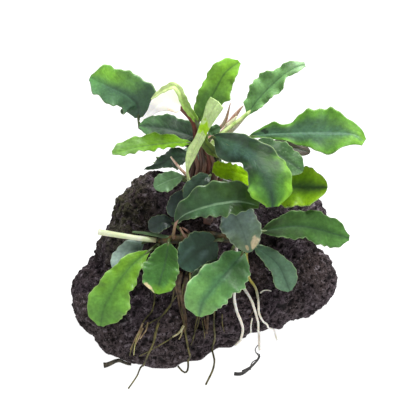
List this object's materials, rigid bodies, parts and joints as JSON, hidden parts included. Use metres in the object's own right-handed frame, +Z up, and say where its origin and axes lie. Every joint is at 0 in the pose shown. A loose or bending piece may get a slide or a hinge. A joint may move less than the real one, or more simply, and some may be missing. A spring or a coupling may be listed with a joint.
{
  "type": "bucephalandra on stone",
  "caption": "Small wavy-leaved water plant with creeping stems and one white flower spathe, rooted on a lump of dark porous lava stone that rests on its flat underside.",
  "frame": {"origin": "middle of the stone's flat underside", "axes": "+Z up out of the stone, +X along the stone's length, the plant faces -Y"},
  "size_m": [0.1466, 0.1081, 0.1441],
  "materials": {
    "lava_stone": "dull, porous",
    "leaf": "waxy satin",
    "spathe": "satin",
    "stem": "dull",
    "pale_stalk": "satin",
    "root_white": "dull",
    "root_brown": "dull"
  },
  "bodies": {
    "root": {"crown_stem": "stem", "cut_petiole": "pale_stalk", "flower_spathe": "spathe", "leaf_back_left": "leaf", "leaf_back_low": "leaf", "leaf_back_middle": "leaf", "leaf_back_right": "leaf", "leaf_bud_round": "leaf", "leaf_front_arched": "leaf", "leaf_front_damaged": "leaf", "leaf_front_low": "leaf", "leaf_front_yellow": "leaf", "leaf_hanging_narrow": "leaf", "leaf_inner_grey": "leaf", "leaf_left_bright": "leaf", "leaf_left_dark": "leaf", "leaf_left_grey": "leaf", "leaf_left_low": "leaf", "leaf_left_slate": "leaf", "leaf_left_tucked": "leaf", "leaf_middle_glossy": "leaf", "leaf_olive_curled": "leaf", "leaf_right_hidden": "leaf", "leaf_right_long": "leaf", "leaf_right_low": "leaf", "leaf_right_shaded": "leaf", "leaf_right_yellow": "leaf", "leaf_small_left": "leaf", "leaf_small_low_left": "leaf", "leaf_small_low_right": "leaf", "leaf_top": "leaf", "leaf_under_dark": "leaf", "leaf_under_short": "leaf", "leaf_upper_left": "leaf", "leaf_upper_right": "leaf", "leaf_young_arched": "leaf", "leaf_young_rolled": "leaf", "rhizome": "stem", "root_black_end": "root_brown", "root_brown_a": "root_brown", "root_brown_b": "root_brown", "root_brown_c": "root_brown", "root_brown_d": "root_brown", "root_brown_e": "root_brown", "root_brown_f": "root_brown", "root_brown_g": "root_brown", "root_brown_thick": "root_brown", "root_dead_scrap": "root_brown", "root_white_fork": "root_white", "root_white_left": "root_white", "root_white_middle": "root_white", "root_white_right": "root_white", "root_white_twig": "root_white", "sheath_curved": "pale_stalk", "sheath_needle": "pale_stalk", "sheath_side": "pale_stalk", "side_shoot": "stem", "stone": "lava_stone"}
  },
  "joints": []
}
